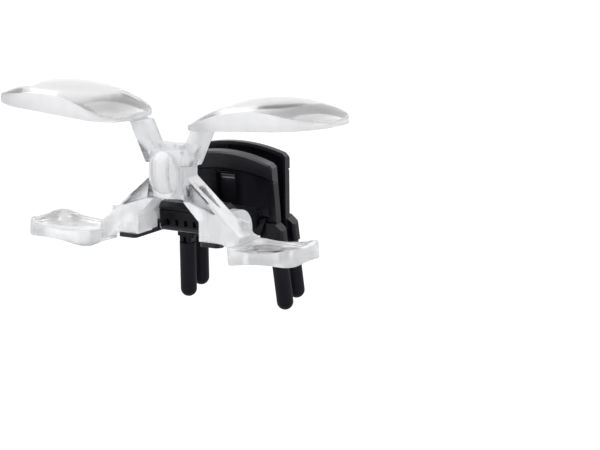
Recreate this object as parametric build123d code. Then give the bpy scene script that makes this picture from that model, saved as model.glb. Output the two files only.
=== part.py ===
from build123d import *
import math
import os

# Clip-on binocular loupe in its flipped-up pose. Lengths are in millimetres.
# X runs to the wearer's left, -Y points away from the wearer, +Z is up along the legs.
# The origin is the middle of the gap between the front and the rear leg sleeves,
# where the clip grips the edges of a pair of glasses.

# Clamp and legs
lens_gap = 1.9
sleeve_radius = 2.25
sleeve_top = 8.4
sleeve_drop_front = 7.5
sleeve_drop_rear = 6.3
sleeve_fit = 0.02
core_radius = 1.25
core_tip_wall = 1.6
leg_half_spacing = 15.0
leg_splay = 3.7
neck_width = 3.7
neck_depth = 3.0
neck_edge = 0.5
neck_slot_width = 0.8
neck_slot_height = 1.7
neck_slot_depth = 0.7
root_width = 5.2
root_height = 6.8
root_below = 0.7
root_edge = 0.8
root_taper = 2.2

# Finger plates, measured from the pin of the jaw hinge
pin_y = -0.8
pin_z = 16.5
pin_radius = 0.95
pin_fit = 0.05
plate_half_width = 14.8
plate_foot = 5.6
plate_corner = 0.9
front_rise = 16.5
rear_rise = 18.0
front_crown = 2.6
rear_crown = 2.1
front_lean = 1.5
rear_lean = 6.0
front_face = 3.4
front_depth = 2.7
front_web = 1.4
rear_face = 4.0
rear_depth = 2.4
rear_web = 1.4
rim_wall = 0.9
band_height = 4.5
band_step = 0.25
band_groove_width = 0.35
band_groove_depth = 0.4
plate_bevel = 0.4
window_width = 6.0
window_low = 3.4
window_high = 13.9
tongue_bar_round = 1.0
tongue_bar_top = 12.1
tongue_bar_wall = 1.2
tongue_bar_inset = 1.5
window_lip_radius = 0.35
window_lip_drop = 0.65
window_lip_inset = 0.3
divider_count = 2
divider_width = 0.8
divider_spacing = 7.0
ledge_drop = 0.6
boss_width = 2.1
boss_low = 2.4
boss_high = 4.6
boss_proud = 0.8
strut_top_x = 11.5
strut_foot_x = 9.0
strut_foot = 3.8
strut_width = 1.5
strut_proud = 1.3
strut_gap = 0.2

# Jaw hinge and its spring
lug_radius = 1.9
lug_width = 2.4
lug_gap = 0.25
spring_wire = 0.6
spring_coil_radius = 1.55
spring_whole_turns = 5
spring_pitch = 1.2
spring_splay = 15.0
spring_seat_gap = 0.05
spring_room = 3.75

# Flip hinge and its bracket, measured from the flip axle
axle_y = -21.2
axle_z = 19.5
axle_radius = 0.7
axle_fit = 0.03
flip_lug_radius = 1.4
bracket_half_width = 9.3
bracket_wall = 1.9
bracket_tail_wall = 3.2
bracket_roof = 1.8
bracket_nose = 1.6
bracket_height = 6.6
bracket_nose_bevel = 1.2
bracket_head = 4.2
bracket_slope_end = 10.0
bracket_tail_top = 1.4
bracket_tail_foot = 4.4
bracket_belly = 2.2
bracket_screw_radius = 0.7
bracket_screw_head = 1.25
bracket_screw_head_height = 0.6
bracket_screw_length = 4.0
bracket_screw_half_spacing = 5.2
bracket_screw_height = 2.8
bracket_line_height = 4.5
bracket_line_width = 0.35
bracket_line_depth = 0.35
barrel_slot_count = 6
barrel_slot_spacing = 2.7
barrel_slot_width = 1.0
barrel_slot_height = 1.6
barrel_slot_depth = 0.8
tail_flange_half_width = 10.7
tail_flange_thickness = 0.6
tail_flange_low = 2.1
tail_flange_high = 3.8
screw_fit = 0.02
washer_thickness = 0.4
washer_radius = 1.3
washer_play = 0.03

# Cradle plates that carry the clear unit, one on each side
cradle_thickness = 1.0
cradle_top = 0.5
cradle_outer = 15.2
cradle_front = 12.6
cradle_back = 5.2
cradle_corner = 1.0
knuckle_radius = 1.3
knuckle_end = 11.5
cradle_screw_radius = 0.75
cradle_screw_head = 1.4
cradle_screw_head_height = 0.5
cradle_screw_length = 3.4
cradle_screw_x = 13.2
cradle_screw_y = -9.0

# Pose and optics of the clear unit, in a frame of its own at the flip axle
flip_tilt = 7.0
toe_in = 4.5
optic_y = -10.8
large_half_spacing = 29.9
large_width = 40.2
large_depth = 24.5
large_inner_corner = 8.0
large_outer_corner = 11.5
large_thickness = 6.8
large_dome_radius = 40.0
large_base = 31.0
large_rim = 1.2
small_half_spacing = 30.6
small_width = 20.0
small_depth = 16.5
small_corner = 3.6
small_thickness = 3.9
small_bowl_radius = 34.0
small_bowl_depth = 1.45
small_under_radius = 57.0
small_under_depth = 1.2
small_base = -3.3

# Hub and arms of the clear unit
hub_y = -9.6
hub_z = 14.6
tongue_half_width = 4.3
tongue_front = 6.2
tongue_depth = 6.6
tongue_drop = 4.8
tongue_rise = 7.8
tongue_low_waist = 0.6
tongue_high_waist = 2.6
tongue_flat_half_width = 2.8
tongue_bevel = 1.5
tongue_dome_radius = 9.0
socket_half_width = 4.8
socket_front = 4.3
socket_back = 1.2
socket_drop = 4.6
socket_rise = 4.0
socket_round = 0.5
upper_arm_low_x = 4.5
upper_arm_low_z = 3.6
upper_arm_reach = 1.7
upper_arm_through = 2.0
upper_arm_low_thickness = 4.8
upper_arm_high_thickness = 3.6
upper_arm_low_width = 6.2
upper_arm_high_width = 7.8
upper_arm_round = 1.5
upper_arm_y = -9.1
saddle_depth = 3.0
saddle_top = 9.0
arm_front = 12.1
arm_back = 5.4
arm_crest_x = 5.3
arm_crest_z = 15.6
arm_heel_z = 1.7
arm_bite = 0.8
arm_crotch_x = 3.9
arm_crotch_z = 9.9
arm_round = 0.9
knee_x = 9.2
knee_z = 4.6
groove_depth = 1.8
groove_margin = 0.9
groove_start_share = 0.04
groove_end_share = 0.58
groove_inner_x = 4.4
groove_inner_z = 12.3
groove_low_x = 6.9
groove_low_z = 9.3
groove_rib = 0.55
slot_start_share = 0.17
slot_end_share = 0.56
slot_width = 2.6
slot_depth = 1.6
foot_gap = 0.3
foot_back = 1.6
foot_top = 5.2
foot_round = 3.4
ear_inner = 11.8
ear_outer = 14.9
ear_radius = 5.8
ear_lift = 0.6
ear_set_forward = 0.6
ear_front = 8.0
saddle_cut_radius = 4.6

overrun = 1.0
eighth_turn = 45
spring_samples = 300


def mirrored(shape):
    """The same piece on the other side of the middle plane."""
    return mirror(shape, about=Plane.YZ)


def rod_x(radius, half_length):
    """Rod along X, centred on the origin."""
    return Rot(0, 90, 0) * Cylinder(radius, 2 * half_length)


def block(x_low, x_high, y_low, y_high, z_low, z_high):
    """Box between six faces."""
    centre = ((x_low + x_high) / 2, (y_low + y_high) / 2, (z_low + z_high) / 2)
    return Pos(*centre) * Box(x_high - x_low, y_high - y_low, z_high - z_low)


# Finger plates of the clip

def arched_plate(half_width, foot, rise, crown, y_low, y_high):
    """Plate with a straight foot, small corners and a crowned top, from y_low to y_high."""
    outline = Polyline((-half_width + plate_corner, rise), (-half_width, rise - plate_corner),
                       (-half_width, -foot), (half_width, -foot),
                       (half_width, rise - plate_corner), (half_width - plate_corner, rise))
    top_end = half_width - plate_corner
    top = ThreePointArc((top_end, rise), (0, rise + crown), (-top_end, rise))
    face = make_face([outline, top])
    plate = extrude(Plane.XZ * face, amount=y_high - y_low)
    return Pos(0, y_high, 0) * plate


def under_band(rise, crown, y_low, y_high):
    """All that lies below the band along a plate's top, between two Y faces."""
    reach = plate_half_width + plate_corner + overrun
    return arched_plate(reach, plate_foot + overrun, rise - band_height, crown, y_low, y_high)


def shaped_plate(rise, crown, face_y, depth, web):
    """One finger plate about the pin, seen from outside: a web, rims on three sides and a proud band."""
    whole = arched_plate(plate_half_width, plate_foot, rise, crown, -face_y, -face_y + depth)
    top_edges = whole.edges().filter_by(lambda edge: edge.center().Z > rise - band_height)
    outer_edges = top_edges.filter_by(lambda edge: abs(edge.center().Y + face_y) < plate_bevel / 2)
    whole = chamfer(outer_edges, plate_bevel)
    hollow = arched_plate(plate_half_width - rim_wall, plate_foot + overrun, rise - rim_wall,
                          crown, -face_y + web, -face_y + depth + overrun)
    step = under_band(rise, crown, -face_y - overrun, -face_y + band_step)
    groove = under_band(rise, crown, -face_y - overrun, -face_y + band_step + band_groove_depth)
    groove = groove - under_band(rise - band_groove_width, crown, -face_y - 2 * overrun, depth)
    return whole - hollow - step - groove


def jaw_lug(inner_x, reach, sign):
    """Pair of ears that carry the pin, joined to the web on one side."""
    ears = []
    for side in (-1, 1):
        middle = side * (inner_x + lug_width / 2)
        ring = Pos(middle, 0, 0) * rod_x(lug_radius, lug_width / 2)
        bridge = block(middle - lug_width / 2, middle + lug_width / 2,
                       min(0, sign * reach), max(0, sign * reach), -lug_radius, lug_radius)
        ears.append(ring + bridge)
    return ears[0] + ears[1]


def leg(sign, bottom):
    """Leg on the +X side: root, neck and the core that goes inside the sleeve."""
    centre_y = sign * (lens_gap / 2 + sleeve_radius)
    core_low = -bottom + core_tip_wall
    core = Pos(0, centre_y, (core_low + sleeve_top) / 2) * Cylinder(core_radius, sleeve_top - core_low)
    root_low = pin_z - plate_foot - root_below
    neck = Pos(0, centre_y, (sleeve_top + root_low + neck_edge) / 2)
    neck = neck * Box(neck_width, neck_depth, root_low + neck_edge - sleeve_top)
    neck = fillet(neck.edges().filter_by(Axis.Z), neck_edge)
    slot_z = (sleeve_top + root_low) / 2
    slot = Pos(0, centre_y + sign * neck_depth / 2, slot_z)
    slot = slot * Box(neck_slot_width, 2 * neck_slot_depth, neck_slot_height)
    root = Pos(0, centre_y, root_low + root_height / 2) * Box(root_width, neck_depth, root_height)
    root = fillet(root.edges().filter_by(Axis.Z), root_edge)
    shoulder = Pos(root_width / 2, centre_y, root_low + root_height) * Rot(0, eighth_turn, 0)
    root = root - shoulder * Box(root_taper * math.sqrt(2), 2 * neck_depth, root_taper * math.sqrt(2))
    return splay_centre() * (core + neck - slot + root)


def splay_centre():
    """Place of a leg's own frame: tilted outwards going down, about mid sleeve."""
    return Pos(leg_half_spacing, 0, 0) * Rot(0, -leg_splay, 0)


def sleeve(sign, bottom):
    """Rubber sleeve with a domed tip, on the +X side."""
    centre_y = sign * (lens_gap / 2 + sleeve_radius)
    tube = Pos(0, centre_y, (sleeve_top - bottom + sleeve_radius) / 2)
    tube = tube * Cylinder(sleeve_radius, sleeve_top + bottom - sleeve_radius)
    tip = Pos(0, centre_y, -bottom + sleeve_radius) * Sphere(sleeve_radius)
    bore_low = -bottom + core_tip_wall - sleeve_fit
    bore = Pos(0, centre_y, (bore_low + sleeve_top + overrun) / 2)
    bore = bore * Cylinder(core_radius + sleeve_fit, sleeve_top + overrun - bore_low)
    return splay_centre() * (tube + tip - bore)


def place_on_pin(shape, lean):
    """Leans a plate about the pin and moves it to its place."""
    return Pos(0, pin_y, pin_z) * Rot(lean, 0, 0) * shape


def window_tongue():
    """Spring tongue behind the window: it rises from a shelf and is rounded over at its top."""
    front = -front_face + band_step + tongue_bar_inset
    back = front + tongue_bar_wall
    side_view = make_face(Polyline((front, tongue_bar_top), (front, window_low - tongue_bar_wall),
                                   (back, window_low - tongue_bar_wall), (back, tongue_bar_top), close=True))
    leaf = across(side_view, window_width / 2 - window_lip_inset)
    rounded = leaf.edges().filter_by(Axis.X).sort_by(Axis.Z)[-2:].sort_by(Axis.Y)[0]
    leaf = fillet(rounded, tongue_bar_round)
    shelf = block(-window_width / 2, window_width / 2, -front_face + front_web / 2, back,
                  window_low - tongue_bar_wall, window_low)
    lip = Pos(0, -front_face + band_step + window_lip_inset + window_lip_radius,
              window_high - window_lip_drop) * rod_x(window_lip_radius, window_width / 2)
    return leaf + shelf + lip


def plate_ribs():
    """Small block and slanted strut low on the front plate, clear of the bracket, on the +X side."""
    face = -front_face + band_step
    boss_inner = tail_flange_half_width + strut_gap
    boss = block(boss_inner, boss_inner + boss_width, face - boss_proud, face + band_step,
                 boss_low, boss_high)
    half = strut_width / 2
    strut_top = tail_flange_low - strut_gap
    strut = front_view([(strut_top_x - half, strut_top), (strut_top_x + half, strut_top),
                        (strut_foot_x + half, -strut_foot), (strut_foot_x - half, -strut_foot)],
                       face - strut_proud, face + band_step)
    bracket_low = axle_z - bracket_tail_foot - pin_z - strut_gap
    room = block(0, bracket_half_width + strut_gap, face - strut_proud - overrun, face + overrun,
                 bracket_low, front_rise)
    return boss + (strut - room)


def front_jaw():
    """Front finger plate with its window, tongue, ribs, ears and two legs."""
    plate = shaped_plate(front_rise, front_crown, front_face, front_depth, front_web)
    window = block(-window_width / 2, window_width / 2, -front_face - overrun,
                   -front_face + front_depth + overrun, window_low, window_high)
    ears = jaw_lug(lug_gap + spring_room + lug_width + lug_gap, front_face - front_web / 2, -1)
    ribs = plate_ribs()
    plate = plate - window + window_tongue() + ears + ribs + mirrored(ribs)
    plate = place_on_pin(plate, front_lean)
    right_leg = leg(-1, sleeve_drop_front)
    body = plate + right_leg + mirrored(right_leg)
    body = body - screw_holes()
    return body - Pos(0, pin_y, pin_z) * rod_x(pin_radius + pin_fit, plate_half_width)


def rear_jaw():
    """Rear finger plate with dividers inside its top, ears and two legs."""
    plate = Rot(0, 0, 180) * shaped_plate(rear_rise, rear_crown, rear_face, rear_depth, rear_web)
    for step in range(divider_count):
        middle = (step - (divider_count - 1) / 2) * divider_spacing
        divider = block(middle - divider_width / 2, middle + divider_width / 2,
                        rear_face - rear_depth + ledge_drop, rear_face - rear_web / 2,
                        rear_rise - band_height, rear_rise + rear_crown - rim_wall)
        plate = plate + divider
    ears = jaw_lug(lug_gap + spring_room, rear_face - rear_web / 2, 1)
    plate = place_on_pin(plate + ears, -rear_lean)
    right_leg = leg(1, sleeve_drop_rear)
    body = plate + right_leg + mirrored(right_leg)
    return body - Pos(0, pin_y, pin_z) * rod_x(pin_radius + pin_fit, plate_half_width)


def jaw_pin():
    """Steel axle of the jaw hinge."""
    half_length = 2 * lug_gap + spring_room + 2 * lug_width
    return Pos(0, pin_y, pin_z) * rod_x(pin_radius, half_length)


def spring_end(inner_face, lean):
    """Length of a spring end that comes to rest on the inner face of a leaning plate."""
    angle = math.radians(spring_splay - lean)
    reach = inner_face - spring_wire / 2 - spring_seat_gap - spring_coil_radius * math.cos(angle)
    return reach / math.sin(angle)


def spring_point(turn):
    """Point on the coil after some turns, and the way along the wire there."""
    angle = 2 * math.pi * turn + math.radians(180 + spring_splay)
    rise = spring_pitch / (2 * math.pi * spring_coil_radius)
    point = Vector((turn - spring_turns() / 2) * spring_pitch,
                   spring_coil_radius * math.cos(angle), spring_coil_radius * math.sin(angle))
    return point, Vector(rise, -math.sin(angle), math.cos(angle)).normalized()


def spring_turns():
    """Whole turns and the part turn that sets the two ends apart."""
    return spring_whole_turns + (180 - 2 * spring_splay) / 360


def biarc(start, start_way, end, end_way):
    """Two arcs that meet smoothly and join two points with given ways."""
    gap = end - start
    both = start_way + end_way
    bend = 2 * (1 - start_way.dot(end_way))
    reach = (math.sqrt(gap.dot(both) ** 2 + bend * gap.dot(gap)) - gap.dot(both)) / bend
    first = start + start_way * reach
    second = end - end_way * reach
    middle = (first + second) / 2
    return [TangentArc(start, middle, tangent=start_way),
            TangentArc(middle, end, tangent=second - first)]


def jaw_spring():
    """Torsion spring on the pin: a coil of smooth arcs with a straight end up each plate."""
    steps = math.ceil(2 * spring_turns())
    stations = [spring_point(step * spring_turns() / steps) for step in range(steps + 1)]
    arcs = []
    for (start, start_way), (end, end_way) in zip(stations, stations[1:]):
        arcs += biarc(start, start_way, end, end_way)
    start, start_way = stations[0]
    end, end_way = stations[-1]
    first = start - start_way * spring_end(front_face - front_web, front_lean)
    last = end + end_way * spring_end(rear_face - rear_web, rear_lean)
    path = Wire([Line(first, start), *arcs, Line(end, last)])
    section = Plane(origin=path @ 0, z_dir=path % 0) * Circle(spring_wire / 2)
    wire = sweep(section, path=path)
    report_spring_gap(path)
    return Pos(0, pin_y, pin_z) * wire


def report_spring_gap(path):
    """Prints the least gap of the spring to itself, measured on points along its wire."""
    count = spring_samples
    length = path.length
    points = [path @ (index / count) for index in range(count + 1)]
    apart = int(count * math.pi * spring_coil_radius / length)
    least = min((points[i] - points[j]).length
                for i in range(count) for j in range(i + apart, count + 1))
    print("least gap of the jaw spring to itself", round(least - spring_wire, 3))


# Flip hinge

def bracket_profile():
    """Side view of the bracket about the flip axle, in Y and Z."""
    tail = -axle_y - front_face + pin_y + front_web
    points = [
        (-bracket_nose, 0),
        (-bracket_nose, bracket_height - bracket_nose_bevel),
        (-bracket_nose + bracket_nose_bevel, bracket_height),
        (bracket_head, bracket_height),
        (bracket_slope_end, bracket_tail_top),
        (tail, bracket_tail_top),
        (tail, -bracket_tail_foot),
        (bracket_head, -bracket_belly),
        (flip_lug_radius, -flip_lug_radius),
        (0, -flip_lug_radius),
    ]
    return make_face(Polyline(*points, close=True))


def across(face, half_width):
    """Extrudes a side view, drawn in Y and Z, to both sides of the middle plane."""
    solid = extrude(Plane.YZ * face, amount=half_width, both=True)
    return solid


def screw_places():
    """Places of the two screws that hold the bracket to the front plate, in the plate's own frame."""
    inner_face = -front_face + front_web
    return [Pos(side * bracket_screw_half_spacing, inner_face, bracket_screw_height) for side in (-1, 1)]


def screw_holes():
    """Holes for the bracket's screws, placed on the leaning plate."""
    hole = Rot(90, 0, 0) * Cylinder(bracket_screw_radius + screw_fit, 2 * bracket_screw_length)
    first, second = [place * hole for place in screw_places()]
    return place_on_pin(first + second, front_lean)


def flip_bracket():
    """Black arm from the front plate forward to the flip axle."""
    body = across(bracket_profile(), bracket_half_width) + rod_x(flip_lug_radius, bracket_half_width)
    inner = bracket_half_width - bracket_wall
    tail = -axle_y - front_face + pin_y
    room = across(channel_profile(tail), inner)
    body = Pos(0, axle_y, axle_z) * (body - room)
    body = body - bracket_line() - barrel_slots() + tail_flange()
    plate_side = place_on_pin(
        block(-2 * plate_half_width, 2 * plate_half_width, -front_face + band_step, front_depth,
              -2 * front_rise, front_rise + front_crown), front_lean)
    body = body - plate_side - screw_holes()
    return body - Pos(0, axle_y, axle_z) * rod_x(axle_radius + axle_fit, bracket_half_width + overrun)


def bracket_line():
    """Thin line across the bracket's nose."""
    return Pos(0, axle_y, axle_z) * block(
        -bracket_half_width - overrun, bracket_half_width + overrun, -bracket_nose - overrun,
        -bracket_nose + bracket_line_depth, bracket_line_height, bracket_line_height + bracket_line_width)


def barrel_slots():
    """Row of slots in the front of the barrel that takes the axle."""
    cut = Box(barrel_slot_width, 2 * barrel_slot_depth, barrel_slot_height)
    slots = []
    for step in range(barrel_slot_count):
        middle = (step - (barrel_slot_count - 1) / 2) * barrel_slot_spacing
        slots.append(Pos(middle, axle_y - bracket_nose, axle_z + flip_lug_radius) * cut)
    return slots


def tail_flange():
    """Thin flange at the bracket's tail, against the front plate."""
    face = -front_face + band_step
    return place_on_pin(block(-tail_flange_half_width, tail_flange_half_width, face - tail_flange_thickness,
                              face + band_step, tail_flange_low, tail_flange_high), front_lean)


def channel_profile(tail):
    """Side view of the hollow under the bracket, open below."""
    points = [
        (tail - bracket_tail_wall, -bracket_tail_foot - overrun),
        (tail - bracket_tail_wall, bracket_tail_top - bracket_roof),
        (bracket_slope_end, bracket_tail_top - bracket_roof),
        (bracket_head - bracket_roof / 2, bracket_height - bracket_roof),
        (flip_lug_radius + bracket_nose, bracket_height - bracket_roof),
        (flip_lug_radius + bracket_nose, -bracket_tail_foot - overrun),
    ]
    return make_face(Polyline(*points, close=True))


def bracket_screws():
    """Two screws through the front plate into the bracket's tail."""
    shank = Rot(90, 0, 0) * Pos(0, 0, bracket_screw_length / 2)
    shank = shank * Cylinder(bracket_screw_radius, bracket_screw_length)
    head = Rot(90, 0, 0) * Pos(0, 0, -bracket_screw_head_height / 2) * Cylinder(
        bracket_screw_head, bracket_screw_head_height)
    return [place_on_pin(place * (shank + head), front_lean) for place in screw_places()]


def flip_axle():
    """Steel axle of the flip hinge."""
    return Pos(0, axle_y, axle_z) * rod_x(axle_radius, knuckle_end)


def friction_washer(side):
    """Thin washer between the cradle's barrel and the bracket's ear."""
    middle = side * (bracket_half_width + washer_play + washer_thickness / 2)
    ring = rod_x(washer_radius, washer_thickness / 2) - rod_x(axle_radius + axle_fit, washer_thickness)
    return Pos(middle, axle_y, axle_z) * ring


# Clear unit and cradle, drawn level in a frame at the flip axle and then tilted

def raised(shape):
    """Puts a piece of the flip-up unit in its pose on the axle."""
    return Pos(0, axle_y, axle_z) * Rot(-flip_tilt, 0, 0) * shape


def cradle():
    """Plate under the side block on the +X side, with the knuckle that turns on the axle."""
    low = -cradle_top - cradle_thickness
    inner = bracket_half_width + washer_thickness + 2 * washer_play
    plate = block(inner, cradle_outer, -cradle_front, cradle_back, low, -cradle_top)
    plate = fillet(plate.edges().filter_by(Axis.Z), cradle_corner)
    knuckle = Pos((inner + knuckle_end) / 2, 0, 0) * rod_x(knuckle_radius, (knuckle_end - inner) / 2)
    plate = plate + knuckle - rod_x(axle_radius + axle_fit, knuckle_end + overrun)
    return plate - Pos(cradle_screw_x, cradle_screw_y, low) * Cylinder(
        cradle_screw_radius + screw_fit, 2 * cradle_thickness + overrun)


def large_lens():
    """Front lens on the +X side: flat below, domed above."""
    outer_half = Pos(large_width / 2, 0) * Rectangle(large_width, 2 * large_depth)
    outline = RectangleRounded(large_width, large_depth, large_outer_corner) & outer_half
    outline = outline + (RectangleRounded(large_width, large_depth, large_inner_corner) - outer_half)
    slab = extrude(outline, amount=large_thickness)
    dome = Pos(0, 0, large_thickness - large_dome_radius) * Sphere(large_dome_radius)
    lens = slab & dome
    return Pos(large_half_spacing, optic_y, large_base) * Rot(0, -toe_in, 0) * lens


def small_place():
    """Place of the eye lens on the +X side."""
    return Pos(small_half_spacing, optic_y, small_base) * Rot(0, -toe_in, 0)


def small_slab():
    """Outline of the eye lens at its full thickness."""
    return extrude(RectangleRounded(small_width, small_depth, small_corner), amount=small_thickness)


def small_lens():
    """Eye lens on the +X side: hollowed above and below, so that its long edges are bowed."""
    bowl = Pos(0, 0, small_thickness - small_bowl_depth + small_bowl_radius) * Sphere(small_bowl_radius)
    under = Pos(0, 0, small_under_depth - small_under_radius) * Sphere(small_under_radius)
    return small_place() * (small_slab() - bowl - under)


def arm_section(x, z, thickness, width, angle, round_radius, y):
    """Rounded section of an arm; angle is the arm's rise from level, in the XZ plane."""
    along = Vector(math.cos(math.radians(angle)), 0, math.sin(math.radians(angle)))
    plane = Plane(origin=(x, y, z), x_dir=(0, 1, 0), z_dir=along)
    return plane * RectangleRounded(width, thickness, round_radius)


def upper_arm():
    """Arm of the V on the +X side."""
    high_x = large_half_spacing - large_width / 2 + upper_arm_reach
    high_z = large_base + upper_arm_through
    run = high_x - upper_arm_low_x
    rise = high_z - hub_z - upper_arm_low_z
    angle = math.degrees(math.atan2(rise, run))
    low = arm_section(upper_arm_low_x, hub_z + upper_arm_low_z, upper_arm_low_thickness,
                      upper_arm_low_width, angle, upper_arm_round, upper_arm_y)
    high = arm_section(high_x, high_z, upper_arm_high_thickness,
                       upper_arm_high_width, angle, upper_arm_round, upper_arm_y)
    return loft([low, high])


def hub_tongue():
    """Shield in the middle of the upper carrier: an egg-shaped dome with bevelled sides."""
    front = hub_y - tongue_front
    section = make_face(Polyline(
        (-tongue_half_width, front + tongue_depth), (-tongue_half_width, front + tongue_bevel),
        (-tongue_flat_half_width, front), (tongue_flat_half_width, front),
        (tongue_half_width, front + tongue_bevel), (tongue_half_width, front + tongue_depth), close=True))
    barrel = Pos(0, 0, hub_z - tongue_drop) * extrude(section, amount=tongue_drop + tongue_rise)
    middle = Pos(0, hub_z + (tongue_high_waist + tongue_low_waist) / 2)
    face = middle * Rectangle(2 * tongue_half_width, tongue_high_waist - tongue_low_waist)
    low_half = Ellipse(tongue_half_width, tongue_drop + tongue_low_waist)
    high_half = Ellipse(tongue_half_width, tongue_rise - tongue_high_waist)
    face = face + Pos(0, hub_z + tongue_low_waist) * low_half
    face = face + Pos(0, hub_z + tongue_high_waist) * high_half
    shield = extrude(Plane.XZ * face, amount=tongue_depth - hub_y + tongue_front, both=True)
    dome = Pos(0, front + tongue_dome_radius, hub_z + tongue_high_waist) * Sphere(tongue_dome_radius)
    return barrel & shield & dome


def hub_socket():
    """Seat of the tongue: a broad front part and a narrower core between the arms."""
    front = block(-socket_half_width, socket_half_width, hub_y - socket_front, hub_y + socket_back,
                  hub_z - socket_drop, hub_z + socket_rise)
    front = fillet(front.edges().filter_by(Axis.Z), socket_round)
    core = block(-arm_crest_x, arm_crest_x, -arm_front, -arm_back, arm_crotch_z, hub_z + socket_rise)
    core = fillet(core.edges().filter_by(Axis.Z), arm_round)
    return front + core


def upper_carrier():
    """Clear V: two arms, the saddle between them and the tongue."""
    arm = upper_arm()
    saddle = block(-upper_arm_low_x, upper_arm_low_x,
                   upper_arm_y + upper_arm_low_width / 2 - saddle_depth, upper_arm_y + upper_arm_low_width / 2,
                   hub_z + socket_rise, hub_z + saddle_top)
    root = block(-upper_arm_low_x, upper_arm_low_x, hub_y - socket_front,
                 upper_arm_y + upper_arm_low_width / 2, hub_z + socket_rise, hub_z + tongue_rise)
    seat = block(-large_width, large_width, -large_depth, large_depth, 0, hub_z + socket_rise)
    body = arm + mirrored(arm) + saddle + root - seat + hub_tongue()
    above = block(-large_width, large_width, -large_depth, large_depth, large_rim, 2 * large_thickness)
    above = Pos(large_half_spacing, optic_y, large_base) * Rot(0, -toe_in, 0) * above
    lens = large_lens()
    body = body - above - mirrored(above)
    return body - lens - mirrored(lens)


def front_view(points, y_low, y_high):
    """Solid from an outline drawn in X and Z, between two Y faces."""
    face = make_face(Polyline(*points, close=True))
    return Pos(0, y_high, 0) * extrude(Plane.XZ * face, amount=y_high - y_low)


def along_crest(share, below=0):
    """Point on the upper edge of the lower arm, as X and Z, some way below it."""
    end_x = arm_end()
    x = arm_crest_x + share * (end_x - arm_crest_x)
    z = arm_crest_z + share * (arm_heel_z - arm_crest_z)
    return (x, z - below)


def arm_end():
    """Where the lower arm runs into the side of the small lens."""
    return small_half_spacing - small_width / 2 + arm_bite


def lower_arm():
    """Arm and side block of the inverted V on the +X side."""
    outline = [
        (0, arm_crest_z),
        (arm_crest_x, arm_crest_z),
        (arm_end(), arm_heel_z),
        (arm_end(), small_base),
        (cradle_outer + cradle_corner, -cradle_top),
        (knee_x, -cradle_top),
        (knee_x, knee_z),
        (arm_crotch_x, arm_crotch_z),
        (0, arm_crotch_z),
    ]
    arm = front_view(outline, -arm_front, -arm_back)
    crest_middle = along_crest(1 / 2)
    long_edges = arm.edges().filter_by(lambda edge: math.hypot(
        edge.center().X - crest_middle[0], edge.center().Z - crest_middle[1]) < arm_round / 2)
    arm = fillet(long_edges, arm_round)
    arm = arm - arm_groove()
    slope = math.degrees(math.atan2(arm_crest_z - arm_heel_z, arm_end() - arm_crest_x))
    start = along_crest(slot_start_share)
    end = along_crest(slot_end_share)
    slot_length = math.dist(start, end)
    wedge = make_face(Polyline((0, -slot_width / 2), (0, slot_width / 2), (slot_length, 0), close=True))
    slot = extrude(wedge, amount=slot_depth + overrun)
    place = Pos(start[0], -(arm_front + arm_back) / 2, start[1]) * Rot(0, slope, 0)
    return arm - place * Pos(0, 0, -slot_depth) * slot


def arm_groove():
    """Hollow in the front of the lower arm, with a thin rib across it."""
    top = along_crest(groove_start_share, groove_margin)
    tip = along_crest(groove_end_share, groove_margin)
    inner = (groove_inner_x, groove_inner_z)
    low = (groove_low_x, groove_low_z)
    hollow = front_view([inner, top, tip, low], -arm_front - overrun, -arm_front + groove_depth)
    rib = front_view([(top[0] - groove_rib, top[1] + groove_rib), (top[0], top[1] + groove_rib),
                      (low[0], low[1] - groove_rib), (low[0] - groove_rib, low[1] - groove_rib)],
                     -arm_front, -arm_front + groove_depth)
    return hollow - rib


def foot_block():
    """Rear part of the side block, hollowed between the ear and the small lens on the +X side."""
    inner = bracket_half_width + washer_thickness + 2 * washer_play + foot_gap
    body = block(inner, arm_end(), -arm_back - overrun, -foot_back, -cradle_top, foot_top)
    upper_edge = body.edges().filter_by(Axis.X).group_by(Axis.Z)[-1].sort_by(Axis.Y)[-1]
    body = fillet(upper_edge, foot_round)
    scoop = Pos(arm_end(), -foot_back, foot_top) * Sphere(saddle_cut_radius)
    return body - scoop


def ear():
    """Rounded ear around the line of the axle on the +X side."""
    disc = Pos((ear_inner + ear_outer) / 2, -ear_set_forward, ear_lift)
    disc = disc * rod_x(ear_radius, (ear_outer - ear_inner) / 2)
    web = block(ear_inner, ear_outer, -ear_front, -ear_set_forward, -ear_radius, ear_lift + ear_radius)
    floor = block(ear_inner - overrun, ear_outer + overrun, -ear_front - overrun, ear_radius + overrun,
                  -ear_radius - overrun, -cradle_top)
    return disc + web - floor


def lower_carrier():
    """Clear inverted V with the hub socket, side blocks and ears."""
    side = lower_arm() + foot_block() + ear()
    body = hub_socket() + side + mirrored(side)
    slab = small_place() * small_slab()
    body = body - slab - mirrored(slab) - hub_tongue()
    for sign in (-1, 1):
        hole = Pos(sign * cradle_screw_x, cradle_screw_y, -cradle_top) * Cylinder(
            cradle_screw_radius + screw_fit, 2 * (cradle_screw_length - cradle_thickness + screw_fit))
        body = body - hole
    return body


def cradle_screws():
    """Two small screws up through the cradle into the side blocks."""
    low = -cradle_top - cradle_thickness
    screw = Pos(0, 0, low + cradle_screw_length / 2) * Cylinder(cradle_screw_radius, cradle_screw_length)
    head = Pos(0, 0, low - cradle_screw_head_height / 2) * Cylinder(cradle_screw_head, cradle_screw_head_height)
    one = Pos(cradle_screw_x, cradle_screw_y, 0) * (screw + head)
    return [one, mirrored(one)]


os.makedirs("parts", exist_ok=True)


def save(name, shape):
    """Writes one sub-part."""
    export_step(shape, f"parts/{name}.step")
    print(name, round(sum(solid.volume for solid in shape.solids()), 2))


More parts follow.
